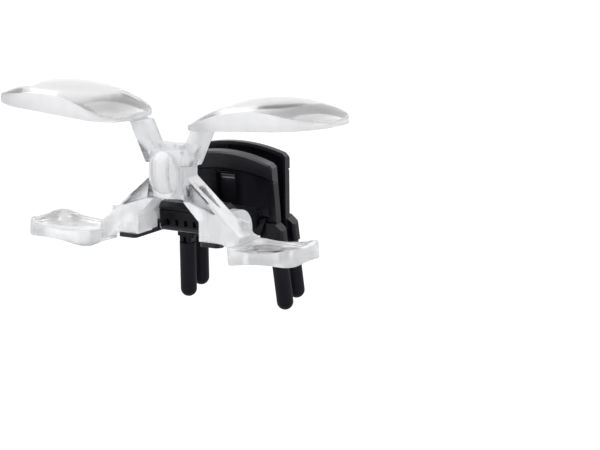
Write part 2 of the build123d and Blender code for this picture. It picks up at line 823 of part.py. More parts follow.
save("front_jaw", front_jaw())
save("rear_jaw", rear_jaw())
save("jaw_pin", jaw_pin())
save("jaw_spring", jaw_spring())
for name, sign, bottom in (("front", -1, sleeve_drop_front), ("rear", 1, sleeve_drop_rear)):
    one = sleeve(sign, bottom)
    save(f"sleeve_{name}_left", one)
    save(f"sleeve_{name}_right", mirrored(one))
save("flip_bracket", flip_bracket())
save("bracket_screws", Compound(children=bracket_screws()))
save("flip_axle", flip_axle())
save("friction_washer_left", friction_washer(1))
save("friction_washer_right", friction_washer(-1))
save("cradle_left", raised(cradle()))
save("cradle_right", raised(mirrored(cradle())))
save("cradle_screws", raised(Compound(children=cradle_screws())))
save("lower_carrier", raised(lower_carrier()))
save("upper_carrier", raised(upper_carrier()))
save("large_lens_left", raised(large_lens()))
save("large_lens_right", raised(mirrored(large_lens())))
save("small_lens_left", raised(small_lens()))
save("small_lens_right", raised(mirrored(small_lens())))
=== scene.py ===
# %% [markdown]
# # A clip-on binocular loupe, flipped up
# The object has a black spring clip with four rubber-sleeved legs and, hinged in front of it, a clear
# X-shaped unit: two large domed lenses above, two small hollowed lenses below, and a hub between them.
# The construction model is loaded first and gives every place and size; this file adds the looks.

# %% Load the construction model
import bpy
import bmesh
import math
from mathutils import Matrix, Vector
from mathutils.bvhtree import BVHTree
from mathutils.kdtree import KDTree


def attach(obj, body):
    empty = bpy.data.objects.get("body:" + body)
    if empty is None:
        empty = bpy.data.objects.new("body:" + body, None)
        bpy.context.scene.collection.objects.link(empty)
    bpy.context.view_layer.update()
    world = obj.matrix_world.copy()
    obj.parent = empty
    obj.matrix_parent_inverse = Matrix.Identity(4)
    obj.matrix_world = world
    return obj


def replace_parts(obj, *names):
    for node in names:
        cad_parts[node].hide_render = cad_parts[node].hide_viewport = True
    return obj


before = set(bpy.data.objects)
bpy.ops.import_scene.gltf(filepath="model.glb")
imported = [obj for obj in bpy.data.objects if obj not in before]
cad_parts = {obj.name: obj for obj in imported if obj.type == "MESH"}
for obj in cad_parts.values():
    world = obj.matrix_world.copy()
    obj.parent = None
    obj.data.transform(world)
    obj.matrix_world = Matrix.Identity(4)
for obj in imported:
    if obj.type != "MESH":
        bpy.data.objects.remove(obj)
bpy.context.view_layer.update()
MM = 0.001
print("nodes loaded:", len(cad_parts))

# %% [markdown]
# ## Two small helpers
# Every piece made here starts as a mesh, becomes an object in the scene and, where modifiers shape it,
# ends as a plain mesh again. Baking the modifiers in this way keeps what is seen and what is exported
# the same, so both steps are written once.

# %% Helpers for pieces


def put_in_scene(name, mesh):
    """An object for a mesh or a lamp, at the origin, unturned and unscaled."""
    piece = bpy.data.objects.new(name, mesh)
    bpy.context.scene.collection.objects.link(piece)
    return piece


def keep_modifiers_result(piece):
    """Turns what the modifiers show into the object's own plain mesh."""
    graph = bpy.context.evaluated_depsgraph_get()
    finished = bpy.data.meshes.new_from_object(piece.evaluated_get(graph))
    piece.modifiers.clear()
    piece.data = finished
    return finished


print("helpers ready")

# %% [markdown]
# ## Camera
# The view is a little from the wearer's left and from above, with a slight roll. It was fitted to
# corners of the object that can be found in the picture: the hub, the lens corners and the ends of the
# legs. A long lens at about half a metre keeps the perspective as gentle as it is there.

# %% Camera
CAMERA_TURN = math.radians(30.95)
CAMERA_RISE = math.radians(18.0)
CAMERA_ROLL = math.radians(-3.67)
CAMERA_DISTANCE = 536.0 * MM
CAMERA_LENS = 125.4
SENSOR_WIDTH = 36.0
NEAREST_SEEN = 10.0 * MM
HUB_POINT = Vector((0.0, -26.5, 34.9)) * MM
HUB_RIGHT_OF_MIDDLE = -31.28 * MM
HUB_ABOVE_MIDDLE = 12.31 * MM

view_back = Vector((math.sin(CAMERA_TURN) * math.cos(CAMERA_RISE),
                    -math.cos(CAMERA_TURN) * math.cos(CAMERA_RISE), math.sin(CAMERA_RISE)))
level_right = Vector((math.cos(CAMERA_TURN), math.sin(CAMERA_TURN), 0.0))
level_up = view_back.cross(level_right)
view_right = level_right * math.cos(CAMERA_ROLL) + level_up * math.sin(CAMERA_ROLL)
view_up = level_up * math.cos(CAMERA_ROLL) - level_right * math.sin(CAMERA_ROLL)
look_at = HUB_POINT - view_right * HUB_RIGHT_OF_MIDDLE - view_up * HUB_ABOVE_MIDDLE

camera_data = bpy.data.cameras.new("camera")
camera_data.lens = CAMERA_LENS
camera_data.sensor_fit = "HORIZONTAL"
camera_data.sensor_width = SENSOR_WIDTH
camera_data.clip_start = NEAREST_SEEN
camera = bpy.data.objects.new("camera", camera_data)
axes = Matrix((view_right, view_up, view_back)).transposed().to_4x4()
camera.matrix_world = Matrix.Translation(look_at + view_back * CAMERA_DISTANCE) @ axes
bpy.context.scene.collection.objects.link(camera)
bpy.context.scene.camera = camera
print("camera looks at", [round(value, 4) for value in look_at])

# %% [markdown]
# ## World
# A clear object shows mostly what stands around it, so the room matters more than the lamps. A photo
# studio could be rebuilt with white walls, but a world colour does the same with less. It has two sides:
# plain white where it is seen, straight on, through the clear plastic or in a gloss, and a dimmer, very
# slightly blue white where it only lights the pieces.

# %% World
WORLD_LIGHT = 0.6
WORLD_SEEN = 1.0
ROOM_COLOR = (0.93, 0.96, 1.0, 1.0)
WHITE = (1.0, 1.0, 1.0, 1.0)
world = bpy.data.worlds.new("studio")
bpy.context.scene.world = world
world.use_nodes = True
nodes, links = world.node_tree.nodes, world.node_tree.links
nodes.clear()


def sees_background(nodes, links):
    """One for a ray that shows the background: from the camera, through glass or off a gloss."""
    path = nodes.new("ShaderNodeLightPath")
    result = path.outputs["Is Camera Ray"]
    for ray in ("Is Transmission Ray", "Is Glossy Ray"):
        either = nodes.new("ShaderNodeMath")
        either.operation = "MAXIMUM"
        links.new(result, either.inputs[0])
        links.new(path.outputs[ray], either.inputs[1])
        result = either.outputs[0]
    return result


room = nodes.new("ShaderNodeBackground")
room.inputs["Color"].default_value = ROOM_COLOR
room.inputs["Strength"].default_value = WORLD_LIGHT
white = nodes.new("ShaderNodeBackground")
white.inputs["Color"].default_value = WHITE
white.inputs["Strength"].default_value = WORLD_SEEN
mix = nodes.new("ShaderNodeMixShader")
out = nodes.new("ShaderNodeOutputWorld")
links.new(sees_background(nodes, links), mix.inputs["Fac"])
links.new(room.outputs[0], mix.inputs[1])
links.new(white.outputs[0], mix.inputs[2])
links.new(mix.outputs[0], out.inputs["Surface"])
bpy.context.scene.view_settings.view_transform = "Standard"
print("world light", WORLD_LIGHT)

# %% [markdown]
# ## Floor
# The loupe stands in the air above a pale sheet, far enough down that its shadow stays soft. Where the
# sheet only throws light back it is a plain pale grey. Where it is seen it also glows a little, so that
# it melts into the white world behind it and still takes a faint shadow.

# %% Floor
FLOOR_DROP = -60.0 * MM
FLOOR_HALF = 1.5
FLOOR_LIT = (0.86, 0.86, 0.86, 1.0)
FLOOR_SEEN = (0.28, 0.28, 0.28, 1.0)
FLOOR_GLOW = 0.8
mesh = bpy.data.meshes.new("floor")
mesh.from_pydata([(-FLOOR_HALF, -FLOOR_HALF, FLOOR_DROP), (FLOOR_HALF, -FLOOR_HALF, FLOOR_DROP),
                  (FLOOR_HALF, FLOOR_HALF, FLOOR_DROP), (-FLOOR_HALF, FLOOR_HALF, FLOOR_DROP)],
                 [], [(0, 1, 2, 3)])
floor = put_in_scene("floor", mesh)
paper = bpy.data.materials.new("pale_floor")
paper.use_nodes = True
nodes, links = paper.node_tree.nodes, paper.node_tree.links
nodes.clear()
diffuse = nodes.new("ShaderNodeBsdfDiffuse")
diffuse.inputs["Color"].default_value = FLOOR_LIT
glow = nodes.new("ShaderNodeEmission")
glow.inputs["Strength"].default_value = FLOOR_GLOW
faint = nodes.new("ShaderNodeBsdfDiffuse")
faint.inputs["Color"].default_value = FLOOR_SEEN
both = nodes.new("ShaderNodeAddShader")
choose = nodes.new("ShaderNodeMixShader")
out = nodes.new("ShaderNodeOutputMaterial")
links.new(faint.outputs[0], both.inputs[0])
links.new(glow.outputs[0], both.inputs[1])
links.new(sees_background(nodes, links), choose.inputs["Fac"])
links.new(diffuse.outputs[0], choose.inputs[1])
links.new(both.outputs[0], choose.inputs[2])
links.new(choose.outputs[0], out.inputs["Surface"])
floor.data.materials.append(paper)
print("floor at", FLOOR_DROP)

# %% [markdown]
# ## Lamps
# Black plastic shows its edges only where something bright is mirrored in them. So four soft boxes stand
# round the object: the key lamp high in front, a side lamp for the plates' ends, a weak one low in front
# and one behind for the rims. They are broad, as a studio's are, which keeps every highlight soft.

# %% Lamps


def soft_lamp(name, place, aim, size, power):
    """A square soft box that points from one place to another."""
    data = bpy.data.lights.new(name, "AREA")
    data.shape = "SQUARE"
    data.size = size
    data.energy = power
    turn = (Vector(aim) - Vector(place)).to_track_quat("-Z", "Y").to_matrix().to_4x4()
    put_in_scene(name, data).matrix_world = Matrix.Translation(Vector(place)) @ turn


MIDDLE = (0.0, -0.02, 0.02)
soft_lamp("key_lamp", (-0.35, -0.42, 0.75), MIDDLE, 0.6, 4.2)
soft_lamp("side_lamp", (0.8, -0.2, 0.25), MIDDLE, 0.4, 1.7)
soft_lamp("front_lamp", (-0.6, -0.6, 0.2), MIDDLE, 0.5, 1.2)
soft_lamp("back_lamp", (0.1, 0.7, 0.6), MIDDLE, 0.6, 2.6)
print("four soft lamps")

# %% [markdown]
# ## Finishes
# Three effects are shared: mould grain, rubbed edges with painted crease shade, and flow marks. They
# could be wired anew in every finish. As groups of nodes with named inputs they are built once and
# placed where a finish needs them, with values of its own. The first is the grain: moulded plastic is
# never perfectly even, its gloss drifts a little and a fine grain from the mould breaks it up. Two
# noises of very different size do that.

# %% Shared effect: mould grain
GRAIN_DETAIL = 2.0
DRIFT_DETAIL = 4.0


def group_tree(name, inputs, outputs):
    """A shader node group with its sockets."""
    tree = bpy.data.node_groups.new(name, "ShaderNodeTree")
    for socket_name, kind, value in inputs:
        socket = tree.interface.new_socket(socket_name, in_out="INPUT", socket_type=kind)
        if value is not None:
            socket.default_value = value
    for socket_name, kind in outputs:
        tree.interface.new_socket(socket_name, in_out="OUTPUT", socket_type=kind)
    tree.nodes.new("NodeGroupInput").name = "into"
    tree.nodes.new("NodeGroupOutput").name = "out_of"
    return tree


def math_node(tree, operation, first, second, clamp=False):
    """A math node with two values or sockets."""
    node = tree.nodes.new("ShaderNodeMath")
    node.operation = operation
    node.use_clamp = clamp
    for slot, value in enumerate((first, second)):
        if isinstance(value, (int, float)):
            node.inputs[slot].default_value = value
        else:
            tree.links.new(value, node.inputs[slot])
    return node.outputs[0]


GRAIN = group_tree("mould_grain", [
    ("Grain Size", "NodeSocketFloat", 2500.0), ("Drift Size", "NodeSocketFloat", 90.0),
    ("Roughness", "NodeSocketFloat", 0.4), ("Roughness Drift", "NodeSocketFloat", 0.1),
], [("Roughness", "NodeSocketFloat"), ("Height", "NodeSocketFloat"), ("Drift", "NodeSocketFloat")])
into, out_of = GRAIN.nodes["into"], GRAIN.nodes["out_of"]
place = GRAIN.nodes.new("ShaderNodeTexCoord")
fine = GRAIN.nodes.new("ShaderNodeTexNoise")
fine.inputs["Detail"].default_value = GRAIN_DETAIL
GRAIN.links.new(place.outputs["Object"], fine.inputs["Vector"])
GRAIN.links.new(into.outputs["Grain Size"], fine.inputs["Scale"])
wide = GRAIN.nodes.new("ShaderNodeTexNoise")
wide.inputs["Detail"].default_value = DRIFT_DETAIL
GRAIN.links.new(place.outputs["Object"], wide.inputs["Vector"])
GRAIN.links.new(into.outputs["Drift Size"], wide.inputs["Scale"])
centred = math_node(GRAIN, "SUBTRACT", wide.outputs["Fac"], 0.5)
moved = math_node(GRAIN, "MULTIPLY", centred, into.outputs["Roughness Drift"])
rough = math_node(GRAIN, "ADD", moved, into.outputs["Roughness"], clamp=True)
GRAIN.links.new(rough, out_of.inputs["Roughness"])
GRAIN.links.new(fine.outputs["Fac"], out_of.inputs["Height"])
GRAIN.links.new(wide.outputs["Fac"], out_of.inputs["Drift"])
print("group", GRAIN.name)

# %% [markdown]
# ### Rubbed edges and painted crease shade
# Hands rub the edges of a clip a little brighter. Inside corners get painted shade: their colour is
# darkened towards a crease colour. Masks for that could be painted, but Geometry's Pointiness already
# tells how a surface bends: over one half on an edge, under it in a corner.

# %% Shared effect: rubbed edges and painted crease shade
EDGE_BEND = (0.52, 0.62)
CREASE_SHADE_BEND = (0.49, 0.42)
EDGE_WEAR_AND_CREASE_SHADE = group_tree("rubbed_edges_and_crease_shade", [
    ("Plain Color", "NodeSocketColor", (0.02, 0.02, 0.02, 1.0)),
    ("Edge Color", "NodeSocketColor", (0.08, 0.08, 0.08, 1.0)),
    ("Crease Color", "NodeSocketColor", (0.01, 0.01, 0.01, 1.0)),
    ("Amount", "NodeSocketFloat", 0.5), ("Crease Amount", "NodeSocketFloat", 0.0),
    ("Drift", "NodeSocketFloat", 0.5),
], [("Color", "NodeSocketColor")])
into, out_of = EDGE_WEAR_AND_CREASE_SHADE.nodes["into"], EDGE_WEAR_AND_CREASE_SHADE.nodes["out_of"]
shape = EDGE_WEAR_AND_CREASE_SHADE.nodes.new("ShaderNodeNewGeometry")
sharp = EDGE_WEAR_AND_CREASE_SHADE.nodes.new("ShaderNodeMapRange")
sharp.inputs["From Min"].default_value = EDGE_BEND[0]
sharp.inputs["From Max"].default_value = EDGE_BEND[1]
EDGE_WEAR_AND_CREASE_SHADE.links.new(shape.outputs["Pointiness"], sharp.inputs["Value"])
broken = math_node(EDGE_WEAR_AND_CREASE_SHADE, "MULTIPLY", sharp.outputs["Result"], into.outputs["Drift"])
edge = math_node(EDGE_WEAR_AND_CREASE_SHADE, "MULTIPLY", broken, into.outputs["Amount"], clamp=True)
blend = EDGE_WEAR_AND_CREASE_SHADE.nodes.new("ShaderNodeMix")
blend.data_type = "RGBA"
# Painted shade: where Pointiness is under one half the colour is darkened towards the crease colour.
painted_hollow_shade = EDGE_WEAR_AND_CREASE_SHADE.nodes.new("ShaderNodeMapRange")
painted_hollow_shade.inputs["From Min"].default_value = CREASE_SHADE_BEND[0]
painted_hollow_shade.inputs["From Max"].default_value = CREASE_SHADE_BEND[1]
EDGE_WEAR_AND_CREASE_SHADE.links.new(shape.outputs["Pointiness"], painted_hollow_shade.inputs["Value"])
crease = math_node(EDGE_WEAR_AND_CREASE_SHADE, "MULTIPLY", painted_hollow_shade.outputs["Result"], into.outputs["Crease Amount"], clamp=True)
crease_shaded = EDGE_WEAR_AND_CREASE_SHADE.nodes.new("ShaderNodeMix")
crease_shaded.data_type = "RGBA"
EDGE_WEAR_AND_CREASE_SHADE.links.new(crease, crease_shaded.inputs["Factor"])
EDGE_WEAR_AND_CREASE_SHADE.links.new(into.outputs["Plain Color"], crease_shaded.inputs["A"])
EDGE_WEAR_AND_CREASE_SHADE.links.new(into.outputs["Crease Color"], crease_shaded.inputs["B"])
EDGE_WEAR_AND_CREASE_SHADE.links.new(edge, blend.inputs["Factor"])
EDGE_WEAR_AND_CREASE_SHADE.links.new(crease_shaded.outputs["Result"], blend.inputs["A"])
EDGE_WEAR_AND_CREASE_SHADE.links.new(into.outputs["Edge Color"], blend.inputs["B"])
EDGE_WEAR_AND_CREASE_SHADE.links.new(blend.outputs["Result"], out_of.inputs["Color"])
print("group", EDGE_WEAR_AND_CREASE_SHADE.name)

# %% [markdown]
# ### Flow marks
# Clear plastic keeps faint streaks from the way it ran into the mould. A noise with a smaller scale
# upright than across draws long upright streaks, and only its higher part is kept.

# %% Shared effect: flow marks
STREAK_DETAIL = 3.0
STREAK_SPAN = (0.45, 0.72)
FLOW = group_tree("flow_marks", [
    ("Flow Size", "NodeSocketFloat", 500.0), ("Stretch", "NodeSocketFloat", 0.2),
    ("Amount", "NodeSocketFloat", 0.3),
], [("Mask", "NodeSocketFloat")])
into, out_of = FLOW.nodes["into"], FLOW.nodes["out_of"]
place = FLOW.nodes.new("ShaderNodeTexCoord")
sizes = FLOW.nodes.new("ShaderNodeCombineXYZ")
FLOW.links.new(into.outputs["Flow Size"], sizes.inputs["X"])
FLOW.links.new(into.outputs["Flow Size"], sizes.inputs["Y"])
FLOW.links.new(math_node(FLOW, "MULTIPLY", into.outputs["Flow Size"], into.outputs["Stretch"]),
               sizes.inputs["Z"])
stretched = FLOW.nodes.new("ShaderNodeVectorMath")
stretched.operation = "MULTIPLY"
FLOW.links.new(place.outputs["Object"], stretched.inputs[0])
FLOW.links.new(sizes.outputs[0], stretched.inputs[1])
streaks = FLOW.nodes.new("ShaderNodeTexNoise")
streaks.inputs["Scale"].default_value = 1.0
streaks.inputs["Detail"].default_value = STREAK_DETAIL
FLOW.links.new(stretched.outputs[0], streaks.inputs["Vector"])
picked = FLOW.nodes.new("ShaderNodeMapRange")
picked.inputs["From Min"].default_value = STREAK_SPAN[0]
picked.inputs["From Max"].default_value = STREAK_SPAN[1]
FLOW.links.new(streaks.outputs["Fac"], picked.inputs["Value"])
FLOW.links.new(math_node(FLOW, "MULTIPLY", picked.outputs["Result"], into.outputs["Amount"], clamp=True),
               out_of.inputs["Mask"])
print("group", FLOW.name)

# %% [markdown]
# ### Black plastic and rubber
# The clip is moulded in a satin black plastic with a trace of blue. The sleeves are softer and duller,
# with an even finer skin, and the friction washers are a pale plastic. One function makes them all,
# because only colour, gloss and grain differ: it takes these as values and places the shared effects.

# %% Moulded finishes
MOULD_DRIFT = 120.0
MOULD_GRAIN_DEPTH = 0.02 * MM


def group_node(tree, group, **values):
    """Places a shared group in a material; grain_size=... sets its input Grain Size."""
    node = tree.nodes.new("ShaderNodeGroup")
    node.node_tree = group
    for socket_name, value in values.items():
        node.inputs[socket_name.replace("_", " ").title()].default_value = value
    return node


def moulded(name, color, edge_color, roughness, drift, grain_size, bump, wear, gloss):
    """An opaque moulded finish: grain, drifting gloss and rubbed edges."""
    material = bpy.data.materials.new(name)
    material.use_nodes = True
    tree = material.node_tree
    shader = tree.nodes["Principled BSDF"]
    shader.inputs["Specular IOR Level"].default_value = gloss
    grain = group_node(tree, GRAIN, grain_size=grain_size, drift_size=MOULD_DRIFT,
                       roughness=roughness, roughness_drift=drift)
    edges_and_creases = group_node(tree, EDGE_WEAR_AND_CREASE_SHADE, plain_color=color, edge_color=edge_color, amount=wear)
    tree.links.new(grain.outputs["Drift"], edges_and_creases.inputs["Drift"])
    tree.links.new(edges_and_creases.outputs["Color"], shader.inputs["Base Color"])
    tree.links.new(grain.outputs["Roughness"], shader.inputs["Roughness"])
    relief = tree.nodes.new("ShaderNodeBump")
    relief.inputs["Strength"].default_value = bump
    relief.inputs["Distance"].default_value = MOULD_GRAIN_DEPTH
    tree.links.new(grain.outputs["Height"], relief.inputs["Height"])
    tree.links.new(relief.outputs["Normal"], shader.inputs["Normal"])
    return material


black_plastic = moulded(
    "satin_black_plastic", color=(0.004, 0.0037, 0.006, 1), edge_color=(0.035, 0.035, 0.042, 1),
    roughness=0.3, drift=0.14, grain_size=2200.0, bump=0.5, wear=0.8, gloss=0.13)
cradle_plastic = moulded(
    "cradle_black_plastic", color=(0.005, 0.005, 0.006, 1), edge_color=(0.03, 0.03, 0.034, 1),
    roughness=0.3, drift=0.12, grain_size=2200.0, bump=0.4, wear=0.7, gloss=0.2)
rubber = moulded(
    "soft_black_rubber", color=(0.006, 0.0055, 0.0085, 1), edge_color=(0.03, 0.03, 0.035, 1),
    roughness=0.5, drift=0.12, grain_size=3800.0, bump=0.7, wear=0.5, gloss=0.07)
washer_finish = moulded(
    "washer_plastic", color=(0.55, 0.55, 0.53, 1), edge_color=(0.7, 0.7, 0.68, 1),
    roughness=0.4, drift=0.1, grain_size=2500.0, bump=0.3, wear=0.4, gloss=0.5)
front_plastic = moulded(
    "front_plate_black_plastic", color=(0.004, 0.0037, 0.006, 1), edge_color=(0.035, 0.035, 0.042, 1),
    roughness=0.3, drift=0.14, grain_size=2200.0, bump=0.5, wear=0.8, gloss=0.11)
print("five moulded finishes")

# %% [markdown]
# ### Glossier zones of the front plate
# Thumbs polish the raised band along the top of the front plate and the small bar in its window. A
# second material with a hard border would look painted on, so the same finish gets a coat that fades
# in: beyond an arc round a point low on the plate for the band, and inside a small box for the bar.

# %% Glossier zones
BAND_MIDDLE_HEIGHT = -2.9 * MM
BAND_RADIUS = 34.1 * MM
BAND_EASE = 0.1 * MM
BAND_COAT = 0.3
COAT_ROUGHNESS = 0.25
BAR_BOX = ((-2.7, 2.7), (26.9, 28.9))
BAR_EASE = (0.1, 0.6)


def between(tree, value, low, high, ease):
    """One inside a span in millimetres and nought outside, with eased ends."""
    rising = tree.nodes.new("ShaderNodeMapRange")
    rising.inputs["From Min"].default_value = (low - ease) * MM
    rising.inputs["From Max"].default_value = low * MM
    falling = tree.nodes.new("ShaderNodeMapRange")
    falling.inputs["From Min"].default_value = (high + ease) * MM
    falling.inputs["From Max"].default_value = high * MM
    tree.links.new(value, rising.inputs["Value"])
    tree.links.new(value, falling.inputs["Value"])
    return math_node(tree, "MULTIPLY", rising.outputs["Result"], falling.outputs["Result"])


tree = front_plastic.node_tree
place = tree.nodes.new("ShaderNodeTexCoord")
split = tree.nodes.new("ShaderNodeSeparateXYZ")
tree.links.new(place.outputs["Object"], split.inputs[0])
height = math_node(tree, "SUBTRACT", split.outputs["Z"], BAND_MIDDLE_HEIGHT)
across = split.outputs["X"]
reach = math_node(tree, "SQRT", math_node(tree, "ADD", math_node(tree, "MULTIPLY", across, across),
                                          math_node(tree, "MULTIPLY", height, height)), 0.0)
band = tree.nodes.new("ShaderNodeMapRange")
band.inputs["From Min"].default_value = BAND_RADIUS - BAND_EASE
band.inputs["From Max"].default_value = BAND_RADIUS + BAND_EASE
band.inputs["To Max"].default_value = BAND_COAT
tree.links.new(reach, band.inputs["Value"])
bar = math_node(tree, "MULTIPLY", between(tree, across, *BAR_BOX[0], BAR_EASE[0]),
                between(tree, split.outputs["Z"], *BAR_BOX[1], BAR_EASE[1]))
coat = math_node(tree, "MAXIMUM", band.outputs["Result"], bar)
tree.links.new(coat, tree.nodes["Principled BSDF"].inputs["Coat Weight"])
tree.nodes["Principled BSDF"].inputs["Coat Roughness"].default_value = COAT_ROUGHNESS
print("band and bar are glossier")

# %% [markdown]
# ### Steel
# The pins are cut from drawn rod, the spring is drawn wire, and the screws are blackened. Drawing leaves
# fine lines along the metal. A picture of brushed metal could be wrapped round each piece, but the pins
# lie across the object, so a noise that is stretched along X draws the lines too, in the colour and in
# the gloss. The wire and the screws are so small that the same lines do for them.

# %% Steel
STREAK_SIZES = (150.0, 3000.0, 3000.0)
STREAK_SHADE = 0.8
STREAK_GLOSS = (0.7, 1.3)


def drawn_steel(name, color, roughness):
    """Steel with streaks along the width of the object, as on a pin of drawn rod."""
    material = bpy.data.materials.new(name)
    material.use_nodes = True
    tree = material.node_tree
    shader = tree.nodes["Principled BSDF"]
    shader.inputs["Metallic"].default_value = 1.0
    place = tree.nodes.new("ShaderNodeTexCoord")
    stretch = tree.nodes.new("ShaderNodeMapping")
    stretch.inputs["Scale"].default_value = STREAK_SIZES
    streaks = tree.nodes.new("ShaderNodeTexNoise")
    streaks.inputs["Scale"].default_value = 1.0
    tree.links.new(place.outputs["Object"], stretch.inputs["Vector"])
    tree.links.new(stretch.outputs["Vector"], streaks.inputs["Vector"])
    tint = tree.nodes.new("ShaderNodeMix")
    tint.data_type = "RGBA"
    tint.inputs["A"].default_value = color
    tint.inputs["B"].default_value = tuple(STREAK_SHADE * part for part in color[:3]) + (1.0,)
    tree.links.new(streaks.outputs["Fac"], tint.inputs["Factor"])
    tree.links.new(tint.outputs["Result"], shader.inputs["Base Color"])
    spread = tree.nodes.new("ShaderNodeMapRange")
    spread.inputs["To Min"].default_value = roughness * STREAK_GLOSS[0]
    spread.inputs["To Max"].default_value = roughness * STREAK_GLOSS[1]
    tree.links.new(streaks.outputs["Fac"], spread.inputs["Value"])
    tree.links.new(spread.outputs["Result"], shader.inputs["Roughness"])
    return material


steel = drawn_steel("drawn_steel", color=(0.62, 0.62, 0.64, 1.0), roughness=0.28)
dark_steel = drawn_steel("blackened_screw_steel", color=(0.16, 0.16, 0.17, 1.0), roughness=0.35)
print("two steel finishes")

# %% [markdown]
# ### Clear plastic
# The unit is moulded from clear acrylic. Its arms and the walls of its lenses are frosted in the mould:
# part of the light is scattered at the skin, which gives a milky pale grey, and the rest goes through
# and comes out blurred. Only the optical faces are polished. So there are two kinds of finish, and the
# frosted kind keeps a share of plain scattering beside its transmission.

# %% Helpers for clear finishes
CLEAR_INDEX = 1.49
EDGE_ON_BLEND = 0.5
EDGE_ON_POWER = 1.6


def angle_tint_and_shade(tree, face_color, edge_color):
    """One colour straight on and another edge on: partly the longer path through the plastic, partly
    painted shade by the angle of view.
    """
    facing = tree.nodes.new("ShaderNodeLayerWeight")
    facing.inputs["Blend"].default_value = EDGE_ON_BLEND
    bent = math_node(tree, "POWER", facing.outputs["Facing"], EDGE_ON_POWER)
    tint = tree.nodes.new("ShaderNodeMix")
    tint.data_type = "RGBA"
    tree.links.new(bent, tint.inputs["Factor"])
    tint.inputs["A"].default_value = face_color
    tint.inputs["B"].default_value = edge_color
    return tint.outputs["Result"]


def color_mix(tree, mask, first, second):
    """A colour mix steered by a mask."""
    mix = tree.nodes.new("ShaderNodeMix")
    mix.data_type = "RGBA"
    tree.links.new(mask, mix.inputs["Factor"])
    for socket_name, value in (("A", first), ("B", second)):
        if isinstance(value, tuple):
            mix.inputs[socket_name].default_value = value
        else:
            tree.links.new(value, mix.inputs[socket_name])
    return mix.outputs["Result"]


print("clear helpers ready")

# %% Frosted and polished finishes
# Painted shade in the pockets of the clear mouldings.
POCKET_SHADE_COLOR = (0.40, 0.40, 0.42, 1.0)
# Painted crease shade of the clear mouldings.
CREASE_SHADE_COLOR = (0.42, 0.42, 0.45, 1.0)
FLOW_COLOR = (0.62, 0.62, 0.65, 1.0)
FROST_GRAIN = 1800.0
FROST_DRIFT = 140.0
FROST_DEPTH = 0.03 * MM
FROST_BUMP = 0.35
FROST_WEAR = 0.6
FROST_CREASE_SHADE = 0.8
FLOW_SIZE = 450.0
FLOW_STRETCH = 0.22
WIPE_DRIFT = 60.0


def frosted(name, face_color, edge_color, haze, roughness, drift, flow):
    """Frosted clear moulding; haze is the share of light that scatters at the skin."""
    material = bpy.data.materials.new(name)
    material.use_nodes = True
    tree = material.node_tree
    shader = tree.nodes["Principled BSDF"]
    shader.inputs["Transmission Weight"].default_value = 1.0 - haze
    shader.inputs["IOR"].default_value = CLEAR_INDEX
    grain = group_node(tree, GRAIN, grain_size=FROST_GRAIN, drift_size=FROST_DRIFT,
                       roughness=roughness, roughness_drift=drift)
    # Painted shade: the creases of the clear mouldings are darkened towards a grey.
    edges_and_creases = group_node(tree, EDGE_WEAR_AND_CREASE_SHADE, edge_color=WHITE, amount=FROST_WEAR,
                      crease_color=CREASE_SHADE_COLOR, crease_amount=FROST_CREASE_SHADE)
    marks = group_node(tree, FLOW, flow_size=FLOW_SIZE, stretch=FLOW_STRETCH, amount=flow)
    streaked = color_mix(tree, marks.outputs["Mask"], angle_tint_and_shade(tree, face_color, edge_color),
                         FLOW_COLOR)
    # Painted shade: the colour is darkened towards a grey by each point's shut-in share.
    shut_in = tree.nodes.new("ShaderNodeAttribute")
    shut_in.attribute_name = "painted_hollow_shade"
    shaded = color_mix(tree, shut_in.outputs["Fac"], streaked, POCKET_SHADE_COLOR)
    tree.links.new(shaded, edges_and_creases.inputs["Plain Color"])
    tree.links.new(grain.outputs["Drift"], edges_and_creases.inputs["Drift"])
    tree.links.new(edges_and_creases.outputs["Color"], shader.inputs["Base Color"])
    tree.links.new(grain.outputs["Roughness"], shader.inputs["Roughness"])
    relief = tree.nodes.new("ShaderNodeBump")
    relief.inputs["Strength"].default_value = FROST_BUMP
    relief.inputs["Distance"].default_value = FROST_DEPTH
    tree.links.new(grain.outputs["Height"], relief.inputs["Height"])
    tree.links.new(relief.outputs["Normal"], shader.inputs["Normal"])
    return material


def polished(name, face_color, edge_color, roughness, smear):
    """Polished optical face: no grain, only a faint drift of gloss as after wiping."""
    material = bpy.data.materials.new(name)
    material.use_nodes = True
    tree = material.node_tree
    shader = tree.nodes["Principled BSDF"]
    shader.inputs["Transmission Weight"].default_value = 1.0
    shader.inputs["IOR"].default_value = CLEAR_INDEX
    tree.links.new(angle_tint_and_shade(tree, face_color, edge_color), shader.inputs["Base Color"])
    grain = group_node(tree, GRAIN, drift_size=WIPE_DRIFT, roughness=roughness, roughness_drift=smear)
    tree.links.new(grain.outputs["Roughness"], shader.inputs["Roughness"])
    return material


print("clear kinds ready")

# %% Clear finishes
# face_color and edge_color are mixed by the angle of view: partly tint of the plastic, partly painted
# shade.
clear_moulding = frosted(
    "frosted_clear_moulding", face_color=(0.98, 0.975, 0.98, 1.0), edge_color=(0.92, 0.92, 0.935, 1.0),
    haze=0.56, roughness=0.3, drift=0.18, flow=0.35)
lens_wall = frosted(
    "frosted_lens_wall", face_color=(0.88, 0.875, 0.88, 1.0), edge_color=(0.82, 0.815, 0.82, 1.0),
    haze=0.28, roughness=0.4, drift=0.12, flow=0.2)
small_wall = frosted(
    "satin_lens_wall", face_color=(0.93, 0.925, 0.93, 1.0), edge_color=(0.8, 0.8, 0.815, 1.0),
    haze=0.42, roughness=0.2, drift=0.12, flow=0.3)
# Painted shade: the polished faces are darker straight on than edge on.
lens_polish = polished(
    "polished_lens_face", face_color=(0.76, 0.755, 0.76, 1.0), edge_color=(0.84, 0.84, 0.85, 1.0),
    roughness=0.1, smear=0.04)
print("four clear finishes")

